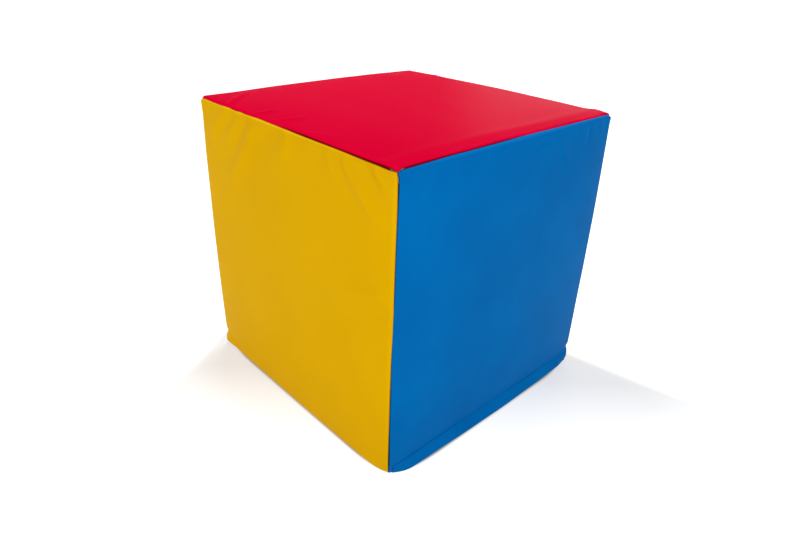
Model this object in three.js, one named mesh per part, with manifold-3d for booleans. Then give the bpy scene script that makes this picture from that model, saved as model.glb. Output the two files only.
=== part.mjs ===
// Soft play foam cube: a foam block in a sewn vinyl cover of six panels, closed by a zip under a flap
// along the foot of the front face.
// Millimetres. The origin is the middle of the underside, +Z is up and the front face looks along -Y.
import * as THREE from 'three';
import { mergeVertices } from 'three/addons/utils/BufferGeometryUtils.js';
import Module from 'manifold-3d';

// The cube
const edge = 600; // over the middle of opposite faces
const crown = 6; // how far the middle of a face stands out from its edges
const crownPower = 6; // how late the crown falls away towards the edges
const bow = 2.4; // how far the edges stand out between two corners
const baseCrown = 1.5; // the underside's crown and bow, which only start close to its edges and corners
const baseCrownPower = 20;
const baseCrownEnd = 0.93; // share of the way to the edge where the crown has fallen
const baseBow = 3;
const baseBowPower = 12;
const zipBowPower = 60; // how late the edge below the zip lifts towards its corners
const standFlat = 0.5; // the weight presses the underside flat by this much
const standHalf = 251; // half the width of the square that is pressed flat
const rollRadius = 10; // round of the cover over an edge of the foam
const foamChamfer = 24; // along the foam's edges, clear of the seam allowances and the zip

// The cover
const sheet = 1; // vinyl cloth
const coverFit = 0.4; // between the cover and the foam
const seamGap = 0.4; // between the two panels of a seam
const seamDip = 1.2; // depth of the groove at a seam
const seamDipWidth = 4;
const allowance = 8; // seam allowance turned in
const cornerClip = 20; // the allowances are cut away this far from a corner
const topReach = 4; // how far the front and back panels reach up round the top's edges
const seamFade = 16; // a seam comes back to the cube's edge over this length at a corner
const seamSpread = 40; // width beside a seam that is woven a little askew by it
const frontOverlap = 1.5; // how far the left panel reaches round the front edge

// The zip at the foot of the front face
const bandHeight = 27; // the flap's stitch line above the floor
const hemDepth = 12; // the front panel's lower edge turned up behind it
const cornerPost = 17; // front panel left standing beside the zip
const baseTurnUp = 3.5; // how far the base panel reaches up the front, under the zip
const footGap = 0.4; // between the base panel's edge and the slider above it
const toothPitch = 4.5;
const toothNeck = 1.4;
const toothReach = 1.9; // from the middle of the zip to a tooth's tip
const toothThickness = 2.4;
const meshGap = 0.3; // between meshing teeth
const beadWidth = 1.2; // edge of the tape that the teeth are moulded on
const tapeThickness = 0.7;
const tapeWidth = 16; // from the middle of the zip to the tape's outer edge
const seatGap = 0.45; // between layers that are sewn flat on each other
const stopLength = 4;
const stopGap = 0.3;
const tabLength = 16;
const tabHeight = 10;

// The slider
const sliderLength = 13;
const sliderNose = 11; // width where the open rows come in
const sliderHeel = 10;
const sliderPlate = 1;
const runGap = 0.3; // round the teeth and the tapes
const bailHeight = 1.2;
const bailLength = 7;
const bailWidth = 2.4;
const bailBar = 0.8;

// The flap over the zip
const flapFoot = 2; // its lower edge above the floor
const flapGap = 0.4; // round the flap, and between its two layers
const stitchGap = 0.8; // between the flap's upper edge and the front panel's hem, where the stitches bend

const red = 0xdf0033;
const yellow = 0xdca800;
const blue = 0x0067ae;

const half = edge / 2;
const quarterRound = (rollRadius * Math.PI) / 4;
const unit = half - rollRadius + quarterRound; // millimetres of cover from a face's middle to its edge
const roundShare = quarterRound / unit;
const centreHeight = half - standFlat;
const bandLevel = 1 - bandHeight / unit;
const frontLine = -(half - crown); // the cover's face along the zip
const openingHalf = half - crown - cornerPost;
const openingPlace = (openingHalf * (half - rollRadius)) / (half - crown - bow - rollRadius);
const hemTop = bandHeight + hemDepth;
const zipPlane = frontLine + 2 * sheet + seatGap + tapeThickness / 2;
const roundLevel = rollRadius + baseCrown - standFlat;
const turnUpAngle = (1 + baseTurnUp / quarterRound) * (Math.PI / 4);
const baseEdgeTop = roundLevel - (rollRadius - sheet) * Math.cos(turnUpAngle);
const zipHeight = baseEdgeTop + footGap + sliderNose / 2; // middle of the teeth above the floor

const wasm = await Module();
wasm.setup();

function smooth(low, high, x) {
  const t = Math.min(1, Math.max(0, (x - low) / (high - low)));
  return t * t * (3 - 2 * t);
}

function toSolid(geometry) {
  const plain = geometry.clone();
  plain.deleteAttribute('normal');
  plain.deleteAttribute('uv');
  const merged = mergeVertices(plain, 1e-4);
  return new wasm.Manifold(new wasm.Mesh({
    numProp: 3,
    vertProperties: new Float32Array(merged.attributes.position.array),
    triVerts: new Uint32Array(merged.index.array),
  }));
}

function toGeometry(solid) {
  const mesh = solid.getMesh();
  const geometry = new THREE.BufferGeometry();
  const corners = new Float32Array(mesh.numVert * 3);
  for (let i = 0; i < mesh.numVert; i += 1) {
    for (let k = 0; k < 3; k += 1) {
      corners[3 * i + k] = mesh.vertProperties[mesh.numProp * i + k];
    }
  }
  geometry.setAttribute('position', new THREE.BufferAttribute(corners, 3));
  geometry.setIndex(new THREE.BufferAttribute(new Uint32Array(mesh.triVerts), 1));
  geometry.computeVertexNormals();
  return geometry;
}

function box(low, high) {
  const size = high.map((value, k) => value - low[k]);
  const geometry = new THREE.BoxGeometry(...size);
  geometry.translate(...low.map((value, k) => value + size[k] / 2));
  return geometry;
}

// An outline of points [y, z], drawn out along X from one end to the other
function alongZip(points, from, to) {
  const shape = new THREE.Shape(points.map(([y, z]) => new THREE.Vector2(y, z)));
  const geometry = new THREE.ExtrudeGeometry(shape, { depth: to - from, bevelEnabled: false });
  geometry.applyMatrix4(new THREE.Matrix4().set(0, 0, 1, from, 1, 0, 0, 0, 0, 1, 0, 0, 0, 0, 0, 1));
  return geometry;
}

// An outline of points [x, z], drawn out along Y from one depth to another
function throughZip(points, from, to) {
  const shape = new THREE.Shape(points.map(([x, z]) => new THREE.Vector2(x, z)));
  const geometry = new THREE.ExtrudeGeometry(shape, { depth: to - from, bevelEnabled: false });
  geometry.applyMatrix4(new THREE.Matrix4().set(1, 0, 0, 0, 0, 0, -1, to, 0, 1, 0, 0, 0, 0, 0, 1));
  return geometry;
}

// The cover's form. A direction is a point q on a cube that reaches from -1 to 1.
// Each coordinate is the cube's half size less what the crown and the bow draw in, with a round at the edges.
function halfSize(k, q) {
  const [i, j] = [0, 1, 2].filter((axis) => axis !== k);
  const isBase = k === 2 && q[k] < 0;
  const isFront = k === 1 && q[k] < 0;
  const across = Math.abs(q[i]);
  let along = Math.abs(q[j]);
  let bowShare = 1;
  if (isFront && q[j] < 0) {
    // the zip holds the foot of the front face straight, and the crown starts above its stitch line
    bowShare = 1 - smooth(0.2, bandLevel, along);
    along = Math.min(1, along / bandLevel);
  }
  if (isBase) {
    // and it holds the edge below it straight, so that only the corners are lifted
    const rise = (value) => Math.min(1, value / baseCrownEnd) ** baseCrownPower;
    const fall = 1 - (1 - rise(across)) * (1 - rise(along));
    const power = baseBowPower + zipBowPower * smooth(0, 1, -q[1]);
    return half - baseCrown * fall - baseBow * Math.abs(q[0]) ** power * Math.abs(q[1]) ** baseBowPower;
  }
  const fall = 1 - (1 - across ** crownPower) * (1 - along ** crownPower);
  return half - crown * fall - bow * bowShare * (across * along) ** 2;
}

function coverNormal(q) {
  const slope = (value) => {
    const turn = Math.max(0, (Math.abs(value) - (1 - roundShare)) / roundShare);
    return Math.sign(value) * Math.tan((turn * Math.PI) / 4);
  };
  return new THREE.Vector3(...q.map(slope)).normalize();
}

function coverPoint(q, depth) {
  const normal = coverNormal(q).toArray();
  const [x, y, z] = q.map((value, k) => {
    const straight = (halfSize(k, q) - rollRadius) * Math.min(1, Math.abs(value) / (1 - roundShare));
    return Math.sign(value) * straight + (rollRadius - depth) * normal[k];
  });
  return new THREE.Vector3(x, y, z + centreHeight);
}

const faces = {
  top: { normal: [0, 0, 1], across: [1, 0, 0], along: [0, 1, 0] },
  base: { normal: [0, 0, -1], across: [0, 1, 0], along: [1, 0, 0] },
  front: { normal: [0, -1, 0], across: [1, 0, 0], along: [0, 0, 1] },
  back: { normal: [0, 1, 0], across: [0, 0, 1], along: [1, 0, 0] },
  left: { normal: [-1, 0, 0], across: [0, 0, 1], along: [0, 1, 0] },
  right: { normal: [1, 0, 0], across: [0, 1, 0], along: [0, 0, 1] },
};

function faceLooking(direction) {
  return Object.keys(faces).find((name) => faces[name].normal.every((value, k) => value === direction[k]));
}

// How far the first panel of a seam reaches round the cube's edge onto the second panel's side
const seams = {
  'front top': topReach,
  'back top': topReach,
  'left top': 0,
  'right top': 0,
  'left base': quarterRound,
  'right base': quarterRound,
  'back base': quarterRound,
  'front base': quarterRound,
  'left front': frontOverlap,
  'left back': 0,
  'right front': 0,
  'right back': 0,
};

function seamReach(face, other) {
  return seams[`${face} ${other}`] ?? -seams[`${other} ${face}`];
}

// Reach of a panel over one of its edges, in millimetres, at a place from -1 to 1 along that edge
function reachAt(face, other, place) {
  const fade = smooth(0, seamFade, (1 - Math.abs(place)) * unit);
  const usual = seamReach(face, other) * fade;
  if (face !== 'base' || other !== 'front') {
    return usual;
  }
  const inside = openingPlace - Math.abs(place) * unit;
  const share = smooth(sheet, sheet + rollRadius, inside);
  return usual + (baseTurnUp - usual) * share;
}

function isAtZip(face, other) {
  return (face === 'base' && other === 'front') || (face === 'front' && other === 'base');
}

// Places of a panel's grid lines, as millimetres from the seam at either side
const openLines = [40, 100, 190];
const plainLines = [0, 3, 8, 12, 16, ...openLines];
const zipLines = [0, 2, 4, 6, 8, 12, 16, ...openLines];

function gridPlaces(lower, upper) {
  const first = lower.map((distance) => ({ side: -1, distance }));
  const last = upper.map((distance) => ({ side: 1, distance })).reverse();
  return [...first, { side: 1, distance: unit }, ...last];
}

function placeOn(line, reach) {
  const share = Math.max(0, 1 - line.distance / seamSpread);
  return (line.side * (unit - line.distance + reach * share)) / unit;
}

// A direction on a face, going on round the cube's edge where a place is past it
function directionOn(face, a, b) {
  const { normal, across, along } = faces[face];
  const clampA = Math.max(-1, Math.min(1, a));
  const clampB = Math.max(-1, Math.min(1, b));
  const past = Math.abs(a) - Math.abs(clampA) + Math.abs(b) - Math.abs(clampB);
  return [0, 1, 2].map((k) => normal[k] * (1 - past) + across[k] * clampA + along[k] * clampB);
}

// One panel: its outer and inner skins over a grid, joined round the border by the seam allowance
function panel(face, acrossLines, alongLines, layers) {
  const { across, along } = faces[face];
  const neighbour = (axis, side) => faceLooking(axis.map((value) => value * side || 0));
  const points = [];
  const triangles = [];

  function addPoint(point) {
    points.push(point.x, point.y, point.z);
    return points.length / 3 - 1;
  }

  function addQuad(p, q, r, s) {
    for (const corners of [[p, q, r], [p, r, s]]) {
      if (new Set(corners).size === 3) {
        triangles.push(...corners);
      }
    }
  }

  // A grid point of the seam's own surface, of the outer skin or of the inner skin.
  // The inner skin ends further in, so that the allowance keeps the cloth's thickness.
  const insets = { seam: 0, outer: seamGap / 2, inner: seamGap / 2 + sheet };

  function node(i, j, skin) {
    const inward = skin === 'inner' ? -sheet : 0;
    const placed = (line, axis, crossing) => {
      const other = neighbour(axis, line.side);
      const inset = isAtZip(face, other) ? seamGap / 2 : insets[skin];
      const reach = reachAt(face, other, placeOn(crossing, inward)) - inset;
      const grooved = isAtZip(face, other) ? 0 : Math.exp(-((line.distance / seamDipWidth) ** 2));
      return { at: placeOn(line, reach), grooved };
    };
    const a = placed(acrossLines[i], across, alongLines[j]);
    const b = placed(alongLines[j], along, acrossLines[i]);
    return { q: directionOn(face, a.at, b.at), dip: seamDip * Math.max(a.grooved, b.grooved) };
  }

  // What lies below the floor is pressed up to it, and drawn in to a square with straight sides
  function pressFlat(point, floor) {
    if (point.z <= floor) {
      point.clamp(new THREE.Vector3(-standHalf, -standHalf, floor), new THREE.Vector3(standHalf, standHalf, floor));
    }
    return point;
  }

  const outer = [];
  const inner = [];
  for (let i = 0; i < acrossLines.length; i += 1) {
    outer.push([]);
    inner.push([]);
    for (let j = 0; j < alongLines.length; j += 1) {
      const above = node(i, j, 'outer');
      const below = node(i, j, 'inner');
      const thickness = sheet * layers(below.q);
      outer[i].push(addPoint(pressFlat(coverPoint(above.q, above.dip), 0)));
      inner[i].push(addPoint(pressFlat(coverPoint(below.q, below.dip + thickness), thickness)));
    }
  }
  for (let i = 0; i + 1 < acrossLines.length; i += 1) {
    for (let j = 0; j + 1 < alongLines.length; j += 1) {
      addQuad(outer[i][j], outer[i + 1][j], outer[i + 1][j + 1], outer[i][j + 1]);
      addQuad(inner[i][j], inner[i][j + 1], inner[i + 1][j + 1], inner[i + 1][j]);
    }
  }

  function allowanceAt(i, j, other, line) {
    if (line.distance <= cornerClip || isAtZip(face, other)) {
      return [outer[i][j], inner[i][j]];
    }
    const direction = coverNormal(node(i, j, 'seam').q).negate();
    const at = (index) => new THREE.Vector3().fromArray(points, 3 * index);
    const outerTip = at(outer[i][j]).addScaledVector(direction, allowance);
    const innerTip = at(inner[i][j]).addScaledVector(direction, allowance - sheet);
    return [addPoint(outerTip), addPoint(innerTip)];
  }

  // Each border is walked with the panel on its left
  const lastI = acrossLines.length - 1;
  const lastJ = alongLines.length - 1;
  const borders = [
    { axis: along, side: -1, steps: lastI, at: (s) => [s, 0], lines: acrossLines },
    { axis: across, side: 1, steps: lastJ, at: (s) => [lastI, s], lines: alongLines },
    { axis: along, side: 1, steps: lastI, at: (s) => [lastI - s, lastJ], lines: acrossLines },
    { axis: across, side: -1, steps: lastJ, at: (s) => [0, lastJ - s], lines: alongLines },
  ];
  for (const border of borders) {
    const other = neighbour(border.axis, border.side);
    let previous;
    for (let s = 0; s <= border.steps; s += 1) {
      const [i, j] = border.at(s);
      const line = border.lines[border.axis === along ? i : j];
      const [outerTip, innerTip] = allowanceAt(i, j, other, line);
      const rib = [outer[i][j], outerTip, innerTip, inner[i][j]];
      if (previous) {
        for (let k = 0; k < 3; k += 1) {
          addQuad(previous[k], previous[k + 1], rib[k + 1], rib[k]);
        }
      }
      previous = rib;
    }
  }

  const geometry = new THREE.BufferGeometry();
  geometry.setAttribute('position', new THREE.Float32BufferAttribute(points, 3));
  geometry.setIndex(triangles);
  geometry.computeVertexNormals();
  return geometry;
}

const singleLayer = () => 1;

// A panel that is sewn on all four sides
function plainPanel(face) {
  const lines = gridPlaces(plainLines, plainLines);
  return panel(face, lines, lines, singleLayer);
}

function basePanel() {
  const opening = unit - openingPlace + sheet;
  const endLines = [...plainLines, opening, opening + rollRadius].sort((a, b) => a - b);
  return panel('base', gridPlaces(zipLines, plainLines), gridPlaces(endLines, endLines), singleLayer);
}

// The front panel, its hem two layers thick, cut away over the zip between its two corner posts
function frontPanel() {
  const fromSeam = (height) => {
    return (height - roundLevel + 2 * quarterRound) / (1 + quarterRound / seamSpread);
  };
  const hemLine = fromSeam(hemTop);
  const lowerLines = [0, 3, 8, 12, 16, hemLine - 1, hemLine + 1, ...openLines];
  const layers = (q) => (coverPoint(q, 0).z < hemTop ? 2 : 1);
  const acrossLines = gridPlaces(plainLines, plainLines);
  const whole = panel('front', acrossLines, gridPlaces(lowerLines, plainLines), layers);
  const opening = box([-openingHalf, -edge, -edge], [openingHalf, frontLine + foamChamfer, bandHeight]);
  return toGeometry(toSolid(whole).subtract(toSolid(opening)));
}

// The foam block, its edges pressed to a chamfer that leaves room for the seam allowances,
// with a shallow step at the foot of the front for the hem and the upper tape
function foamCore() {
  const faceShare = 1 - foamChamfer / half;
  const halfLines = [...openLines.map((distance) => 1 - distance / unit), faceShare, 1].sort();
  const lines = [...halfLines.map((value) => -value).reverse(), 0, ...halfLines];
  const points = [];
  const triangles = [];

  function foamPoint(q) {
    const onEdge = q.filter((value) => Math.abs(value) === 1).length;
    const cut = [0, 0, foamChamfer / 2, (foamChamfer * 2) / 3][onEdge];
    const inside = sheet + coverFit;
    const [x, y, z] = q.map((value, k) => {
      const size = halfSize(k, q) - inside;
      if (Math.abs(value) === 1) {
        return Math.sign(value) * (size - cut);
      }
      return (value / faceShare) * (size - foamChamfer);
    });
    return [x, y, Math.max(z + centreHeight, inside)];
  }

  for (const face of Object.keys(faces)) {
    const start = points.length / 3;
    for (const a of lines) {
      for (const b of lines) {
        points.push(...foamPoint(directionOn(face, a, b)));
      }
    }
    for (let i = 0; i + 1 < lines.length; i += 1) {
      for (let j = 0; j + 1 < lines.length; j += 1) {
        const first = start + i * lines.length + j;
        const next = first + lines.length;
        triangles.push(first, next, next + 1, first, next + 1, first + 1);
      }
    }
  }
  const block = new THREE.BufferGeometry();
  block.setAttribute('position', new THREE.Float32BufferAttribute(points, 3));
  block.setIndex(triangles);
  const stepDepth = zipPlane + tapeThickness / 2 + coverFit;
  const step = box([-edge, -edge, -edge], [edge, stepDepth, hemTop + 2 * sheet + coverFit]);
  return toGeometry(toSolid(block).subtract(toSolid(step)));
}

// The zip's teeth: one row is a comb on a bead, and the other row is the same comb turned over,
// half a pitch along, so that each head lies between two necks
const toothHead = toothPitch - toothNeck - 2 * meshGap;
const beadInside = toothReach + meshGap;
const beadOutside = beadInside + beadWidth;
const tapeEnd = openingHalf - rollRadius - 2 * sheet;
const stopEnd = tapeEnd - tabLength / 2 - stopGap;
const toothEnd = stopEnd - stopLength - stopGap;
const toothCount = Math.floor((2 * toothEnd) / toothPitch - 0.5);
const chainHalf = ((toothCount + 0.5) * toothPitch) / 2;

function toothRow(side, offset) {
  const outline = [];
  const level = (distance) => zipHeight + side * distance;
  outline.push([-chainHalf, level(beadInside)]);
  for (let n = 0; n < toothCount; n += 1) {
    const x = -chainHalf + (n + 0.5) * toothPitch + offset;
    const shoulder = meshGap + (toothHead - toothNeck) / 4;
    const tip = toothHead * 0.35;
    outline.push([x - toothNeck / 2, level(beadInside)]);
    outline.push([x - toothNeck / 2, level(-meshGap)]);
    outline.push([x - toothHead / 2, level(-shoulder)]);
    outline.push([x - tip, level(-toothReach)]);
    outline.push([x + tip, level(-toothReach)]);
    outline.push([x + toothHead / 2, level(-shoulder)]);
    outline.push([x + toothNeck / 2, level(-meshGap)]);
    outline.push([x + toothNeck / 2, level(beadInside)]);
  }
  outline.push([chainHalf, level(beadInside)]);
  outline.push([chainHalf, level(beadOutside)]);
  outline.push([-chainHalf, level(beadOutside)]);
  return throughZip(outline, zipPlane - toothThickness / 2, zipPlane + toothThickness / 2);
}

const tapeStart = beadOutside + meshGap;

function upperTape() {
  const low = [-tapeEnd, zipPlane - tapeThickness / 2, zipHeight + tapeStart];
  const high = [tapeEnd, zipPlane + tapeThickness / 2, zipHeight + tapeWidth];
  return box(low, high);
}

// The lower tape turns in behind the base panel's upturned edge and runs on over the base
function lowerTape() {
  const roundDepth = frontLine + rollRadius;
  const clear = rollRadius - sheet - seatGap;
  const middle = clear - tapeThickness / 2;
  const start = Math.asin((roundDepth - zipPlane) / middle);
  const path = [[zipPlane, zipHeight - tapeStart]];
  const steps = 5;
  for (let n = 0; n <= steps; n += 1) {
    const turn = start * (1 - n / steps);
    path.push([roundDepth - middle * Math.sin(turn), roundLevel - middle * Math.cos(turn)]);
  }
  const used = zipHeight - tapeStart - (roundLevel - middle * Math.cos(start)) + middle * start;
  path.push([roundDepth + Math.max(1, tapeWidth - tapeStart - used), roundLevel - middle]);
  return alongZip(bandOutline(path, tapeThickness), -tapeEnd, tapeEnd);
}

// The outline of a band of even thickness along a path of points [y, z]
function bandOutline(path, thickness) {
  const left = [];
  const right = [];
  path.forEach(([y, z], n) => {
    const [y0, z0] = path[Math.max(0, n - 1)];
    const [y1, z1] = path[Math.min(path.length - 1, n + 1)];
    const before = new THREE.Vector2(y - y0, z - z0).normalize();
    const after = new THREE.Vector2(y1 - y, z1 - z).normalize();
    const middle = before.clone().add(after).normalize();
    const bend = Math.max(0.5, middle.dot(n > 0 ? before : after));
    const reach = thickness / 2 / bend;
    left.push([y - middle.y * reach, z + middle.x * reach]);
    right.push([y + middle.y * reach, z - middle.x * reach]);
  });
  return [...left, ...right.reverse()];
}

// Slider: two shield-shaped plates with flanges that hold the rows in. They are one casting on the real zip,
// joined by a wedge between the open rows.
const channelHalf = beadOutside + runGap;
const plateInside = toothThickness / 2 + runGap;
const flangeTip = tapeThickness / 2 + runGap;
const sliderNoseEnd = chainHalf + stopGap;
const sliderHeelEnd = sliderNoseEnd - sliderLength;

function sliderHalf(side) {
  const plate = plateInside + sliderPlate;
  const reach = sliderNose / 2;
  const profile = [
    [flangeTip, -reach], [plate, -reach], [plate, reach], [flangeTip, reach],
    [flangeTip, channelHalf], [plateInside, channelHalf],
    [plateInside, -channelHalf], [flangeTip, -channelHalf],
  ];
  const placed = profile.map(([depth, z]) => [zipPlane + side * depth, zipHeight + z]);
  const blank = toSolid(alongZip(placed, sliderHeelEnd, sliderNoseEnd));
  const shoulder = sliderNoseEnd - sliderLength * 0.4;
  const corner = (sliderNose - sliderHeel) / 2;
  const outline = [
    [sliderHeelEnd, -sliderHeel / 2 + corner], [sliderHeelEnd + corner, -sliderHeel / 2],
    [shoulder - corner, -sliderHeel / 2], [shoulder, -sliderNose / 2],
    [sliderNoseEnd - 2 * corner, -sliderNose / 2], [sliderNoseEnd, -sliderNose / 2 + 2 * corner],
    [sliderNoseEnd, sliderNose / 2 - 2 * corner], [sliderNoseEnd - 2 * corner, sliderNose / 2],
    [shoulder, sliderNose / 2], [shoulder - corner, sliderHeel / 2],
    [sliderHeelEnd + corner, sliderHeel / 2], [sliderHeelEnd, sliderHeel / 2 - corner],
  ];
  const lifted = outline.map(([x, z]) => [x, z + zipHeight]);
  const cutter = throughZip(lifted, zipPlane - 2 * plate, zipPlane + 2 * plate);
  return blank.intersect(toSolid(cutter));
}

// A low bridge on the front plate, which a hook catches to pull the slider
function sliderBail() {
  const middle = (sliderHeelEnd + sliderNoseEnd) / 2;
  const face = zipPlane - plateInside - sliderPlate;
  const steps = 8;
  const arch = (length, height, sink) => {
    const points = [];
    for (let n = 0; n <= steps; n += 1) {
      const turn = (Math.PI * n) / steps;
      const rise = height * Math.sin(turn) ** 0.5;
      points.push([middle - (length / 2) * Math.cos(turn), face + sink - rise]);
    }
    return points;
  };
  const sink = sliderPlate / 2;
  const bar = [...arch(bailLength, bailHeight + sink, sink)];
  const eye = [...arch(bailLength - 2 * bailBar, bailHeight - bailBar, 0)];
  const drawn = (points, width) => {
    const shape = new THREE.Shape(points.map(([x, y]) => new THREE.Vector2(x, y)));
    const geometry = new THREE.ExtrudeGeometry(shape, { depth: width, bevelEnabled: false });
    geometry.translate(0, 0, zipHeight - width / 2);
    return toSolid(geometry);
  };
  return drawn(bar, bailWidth).subtract(drawn(eye, bailWidth * 2));
}

function sliderFront() {
  return toGeometry(sliderHalf(-1).add(sliderBail()));
}

function sliderBack() {
  return toGeometry(sliderHalf(1));
}

function topStop(side) {
  const near = zipHeight + side * meshGap;
  const far = zipHeight + side * beadOutside;
  const low = [stopEnd - stopLength, zipPlane - toothThickness / 2, Math.min(near, far)];
  const high = [stopEnd, zipPlane + toothThickness / 2, Math.max(near, far)];
  return box(low, high);
}

function bottomStop() {
  const start = -chainHalf - stopGap;
  const low = [start - stopLength, zipPlane - toothThickness / 2, zipHeight - beadOutside];
  const high = [start, zipPlane + toothThickness / 2, zipHeight + beadOutside];
  return box(low, high);
}

function endTab(side) {
  const inside = tapeEnd - tabLength / 2;
  const outside = tapeEnd + tabLength / 2;
  const face = zipPlane - tapeThickness / 2 - seatGap;
  const low = [Math.min(side * inside, side * outside), face - sheet, zipHeight - tabHeight / 2];
  const high = [Math.max(side * inside, side * outside), face, zipHeight + tabHeight / 2];
  return box(low, high);
}

// The flap: a strip of vinyl folded double. It hangs from its stitch line at a slant, so that its inner layer
// stands clear of the slider's bail all the way along.
function zipFlap() {
  const top = bandHeight - stitchGap;
  const bailFace = zipPlane - plateInside - sliderPlate - bailHeight;
  const inside = frontLine + sheet / 2;
  const slant = (inside - bailFace + flapGap) / (top - zipHeight - bailWidth / 2);
  const layerAt = (height, layers) => [inside - slant * (top - height) - layers * sheet, height];
  const innerLayer = 0.5;
  const outerLayer = 1.5 + flapGap / sheet;
  const foldMiddle = flapFoot + sheet + flapGap / 2;
  const backTop = zipHeight + sliderNose / 4;
  const curve = new THREE.SplineCurve([
    new THREE.Vector2(frontLine, top),
    new THREE.Vector2(...layerAt((top + backTop) / 2, 1.5)),
    new THREE.Vector2(...layerAt(backTop, outerLayer)),
    new THREE.Vector2(...layerAt(foldMiddle, outerLayer)),
  ]);
  const path = curve.getPoints(12).map((point) => [point.x, point.y]);
  const [foldAt] = layerAt(foldMiddle, (innerLayer + outerLayer) / 2);
  const fold = (sheet + flapGap) / 2;
  const turns = 6;
  for (let n = 1; n <= turns; n += 1) {
    const turn = (Math.PI * n) / turns;
    path.push([foldAt - fold * Math.cos(turn), foldMiddle - fold * Math.sin(turn)]);
  }
  path.push(layerAt(backTop, innerLayer));
  return alongZip(bandOutline(path, sheet), -openingHalf + flapGap, openingHalf - flapGap);
}

function finish(color, roughness, metalness) {
  return new THREE.MeshStandardMaterial({ color, roughness, metalness });
}

const vinylRoughness = 0.45;
const redVinyl = finish(red, vinylRoughness, 0);
const yellowVinyl = finish(yellow, vinylRoughness, 0);
const blueVinyl = finish(blue, vinylRoughness, 0);
const foam = finish(0xe8e2d0, 0.95, 0);
const tape = finish(0x0a3f74, 0.85, 0);
const moulded = finish(0x0b4f92, 0.35, 0);
const metal = finish(0xb9bcc0, 0.3, 0.9);

const cube = new THREE.Group();

function add(name, geometry, material) {
  const mesh = new THREE.Mesh(geometry, material);
  mesh.name = name;
  cube.add(mesh);
}

add('foam_core', foamCore(), foam);
add('panel_top', plainPanel('top'), redVinyl);
add('panel_left', plainPanel('left'), yellowVinyl);
add('panel_front', frontPanel(), blueVinyl);
add('panel_right', plainPanel('right'), yellowVinyl);
add('panel_back', plainPanel('back'), blueVinyl);
add('panel_base', basePanel(), redVinyl);
add('zip_flap', zipFlap(), blueVinyl);
add('zip_tape_upper', upperTape(), tape);
add('zip_tape_lower', lowerTape(), tape);
add('zip_teeth_upper', toothRow(1, -toothPitch / 4), moulded);
add('zip_teeth_lower', toothRow(-1, toothPitch / 4), moulded);
add('zip_slider_front', sliderFront(), metal);
add('zip_slider_back', sliderBack(), metal);
add('top_stop_upper', topStop(1), metal);
add('top_stop_lower', topStop(-1), metal);
add('bottom_stop', bottomStop(), metal);
add('zip_tab_left', endTab(-1), blueVinyl);
add('zip_tab_right', endTab(1), blueVinyl);

export default cube;
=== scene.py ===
import math

import bpy
import numpy as np
from mathutils import Matrix, Vector


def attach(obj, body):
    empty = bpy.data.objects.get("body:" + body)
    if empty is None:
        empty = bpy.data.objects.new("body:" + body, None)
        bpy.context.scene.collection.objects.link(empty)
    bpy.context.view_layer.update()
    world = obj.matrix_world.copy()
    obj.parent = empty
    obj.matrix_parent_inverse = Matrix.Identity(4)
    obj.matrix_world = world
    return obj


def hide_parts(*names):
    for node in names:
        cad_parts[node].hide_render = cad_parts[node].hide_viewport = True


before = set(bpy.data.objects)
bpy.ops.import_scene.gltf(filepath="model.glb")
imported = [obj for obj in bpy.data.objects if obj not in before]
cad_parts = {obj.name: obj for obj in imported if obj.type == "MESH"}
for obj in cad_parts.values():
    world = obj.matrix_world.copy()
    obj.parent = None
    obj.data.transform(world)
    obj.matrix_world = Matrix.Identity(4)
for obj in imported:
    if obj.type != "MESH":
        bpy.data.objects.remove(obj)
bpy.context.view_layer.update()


# The foam block
# One cube of polyurethane foam, sawn square and a little larger than its cover, which holds it tight.
# The faces stay slightly crowned, and the edges are pressed in by the cover's seams.
edge = 0.600
crown = 0.006  # how far the middle of a face stands out over its borders
crown_power = 6
bow = 0.0024  # how far the middle of an edge stands out over its corners
base_crown = 0.0015  # the underside's crown and bow, which only start close to its edges and corners
base_crown_power = 20
base_crown_end = 0.93
base_bow = 0.003
base_bow_power = 12
zip_bow_power = 60
stand_flat = 0.0005  # how far the cube's weight presses its underside flat
roll_radius = 0.010
cloth = 0.001
cover_fit = 0.0004
band_height = 0.027  # the stitch line over the zip

half = edge / 2
quarter_round = roll_radius * math.pi / 4
unit = half - roll_radius + quarter_round
round_share = quarter_round / unit
centre_height = half - stand_flat
band_level = 1 - band_height / unit


def smooth(low, high, x):
    """0 below low, 1 above high, and between them three times the square of the share of the way less twice
    its cube."""
    t = np.clip((x - low) / (high - low), 0, 1)
    return t * t * (3 - 2 * t)


def half_size(axis, q):
    """Half the cube's size along an axis, in direction q on a cube from -1 to 1.

    It is half the edge, less the crown times a fall that is 0 in a face's middle and 1 at its border, less
    the bow times the square of how near q is to a corner. The foot of the front and the edge under it stay
    straight, and the underside has a crown and a bow of its own.
    """
    across, along = [np.abs(q[k]) for k in range(3) if k != axis]
    if axis == 1:
        low_front = (q[1] < 0) & (q[2] < 0)
        bow_share = np.where(low_front, 1 - smooth(0.2, band_level, along), 1)
        along = np.where(low_front, np.minimum(1, along / band_level), along)
    else:
        bow_share = 1
    fall = 1 - (1 - across ** crown_power) * (1 - along ** crown_power)
    size = half - crown * fall - bow * bow_share * (across * along) ** 2
    if axis == 2:
        rise_across, rise_along = (
            np.minimum(1, v / base_crown_end) ** base_crown_power for v in (across, along)
        )
        fall = 1 - (1 - rise_across) * (1 - rise_along)
        power = base_bow_power + zip_bow_power * smooth(0, 1, -q[1])
        under = half - base_crown * fall - base_bow * np.abs(q[0]) ** power * np.abs(q[1]) ** base_bow_power
        size = np.where(q[2] < 0, under, size)
    return size


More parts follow.
